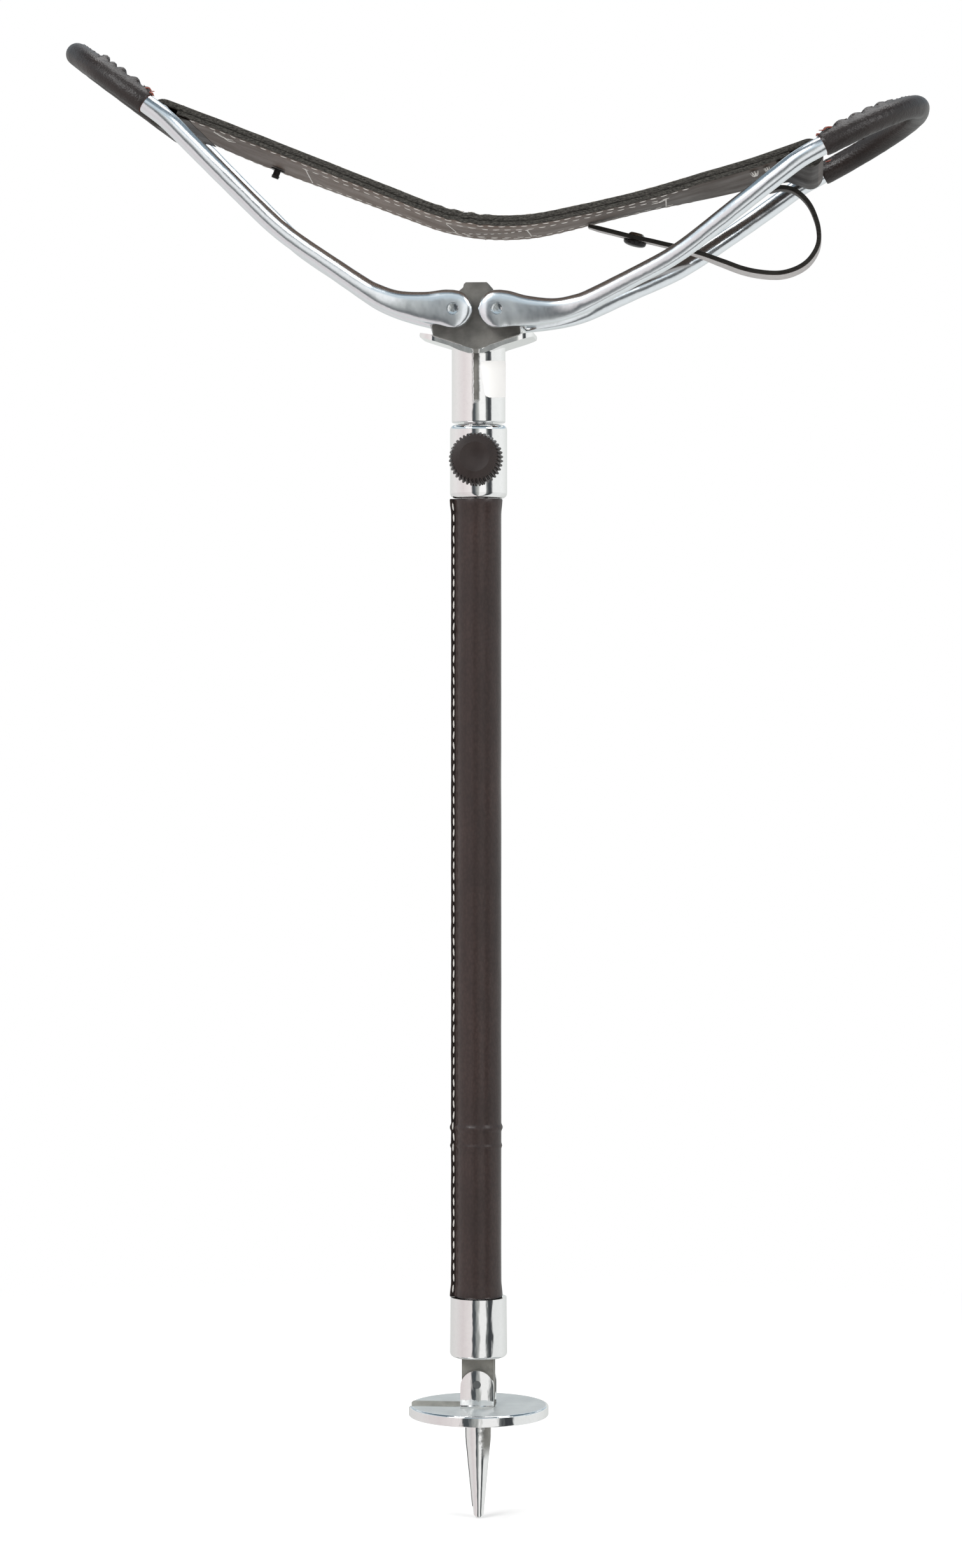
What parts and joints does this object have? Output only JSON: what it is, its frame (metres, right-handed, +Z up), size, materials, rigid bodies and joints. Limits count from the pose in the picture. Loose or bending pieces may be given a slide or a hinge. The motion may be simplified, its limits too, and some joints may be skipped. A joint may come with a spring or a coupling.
{
  "type": "walking stick seat",
  "caption": "Walking stick that opens into a sling seat: a ground spike with folding plate, a leather-covered telescopic tube with clamp knob, and hinged arms with a leather sling.",
  "frame": {"origin": "centre of the ground plate's underside, on the stick's axis; the spike reaches below it", "axes": "+Z up along the stick, +X towards the right seat arm, -Y towards the clamp knob"},
  "size_m": [0.4738, 0.1478, 0.8114],
  "materials": {
    "polished_aluminium": "mirror polished",
    "tube_metal": "drawn, satin",
    "steel_pin": "turned",
    "brass_insert": "turned",
    "dark_plastic": "moulded",
    "knob_plastic": "moulded, satin",
    "sleeve_leather": "smooth, lightly glazed",
    "grip_leather": "smooth, worn",
    "seat_leather": "saddle leather with raw cut edges",
    "strap_leather": "saddle leather with raw cut edges",
    "snap_metal": "black lacquer"
  },
  "bodies": {
    "stick": {"foot_casting": "polished_aluminium", "plate_pin": "steel_pin", "outer_tube": "tube_metal", "ferrule_pin": "steel_pin", "collar_pin": "steel_pin", "tube_bottom_plug": "dark_plastic", "leather_sleeve": "sleeve_leather", "clamp_collar": "polished_aluminium", "threaded_insert": "brass_insert", "guide_bush": "dark_plastic"},
    "clamp_pad": {"clamp_pad": "brass_insert"},
    "knob": {"knob": "knob_plastic", "clamp_screw": "steel_pin"},
    "head": {"inner_tube": "tube_metal", "inner_tube_foot": "dark_plastic", "head_casting": "polished_aluminium", "head_pin": "steel_pin", "arm_pin_left": "steel_pin", "arm_pin_right": "steel_pin", "seat_upper": "seat_leather", "seat_lower": "seat_leather"},
    "arm_left": {"arm_left": "polished_aluminium", "crossbar_left": "steel_pin", "grip_left": "grip_leather", "snap_stud": "snap_metal"},
    "arm_right": {"arm_right": "polished_aluminium", "crossbar_right": "steel_pin", "grip_right": "grip_leather", "closing_strap": "strap_leather", "snap_socket": "snap_metal"},
    "ground_plate": {"ground_plate": "polished_aluminium"}
  },
  "joints": [
    {"name": "head_height", "type": "slide", "parent": "stick", "child": "head", "axis": [0, 0, 1], "range_m": [0, 0.11]},
    {"name": "arm_left_fold", "type": "hinge", "parent": "head", "child": "arm_left", "pos_m": [-0.012, 0, 0.6066], "axis": [0, 1, 0], "range_deg": [-8.85, 51.7], "deforming": ["seat_upper", "seat_lower"]},
    {"name": "arm_right_fold", "type": "hinge", "parent": "head", "child": "arm_right", "pos_m": [0.012, 0, 0.6066], "axis": [0, -1, 0], "range_deg": [0, 60.5], "deforming": ["seat_upper", "seat_lower", "closing_strap", "snap_socket"]},
    {"name": "clamp_travel", "type": "slide", "parent": "stick", "child": "clamp_pad", "axis": [0, -0.9962, 0.0872], "range_m": [0, 0.00125]},
    {"name": "knob_turn", "type": "hinge", "parent": "clamp_pad", "child": "knob", "pos_m": [0, -0.0157, 0.525], "axis": [0, -0.9962, 0.0872], "range_deg": [0, 360]},
    {"name": "plate_fold", "type": "hinge", "parent": "stick", "child": "ground_plate", "pos_m": [0, 0, 0.0188], "axis": [0, -1, 0], "range_deg": [0, 76]}
  ],
  "couplings": [
    {"joint": "clamp_travel", "follows": "knob_turn", "m_per_rad": 0.00019894}
  ]
}
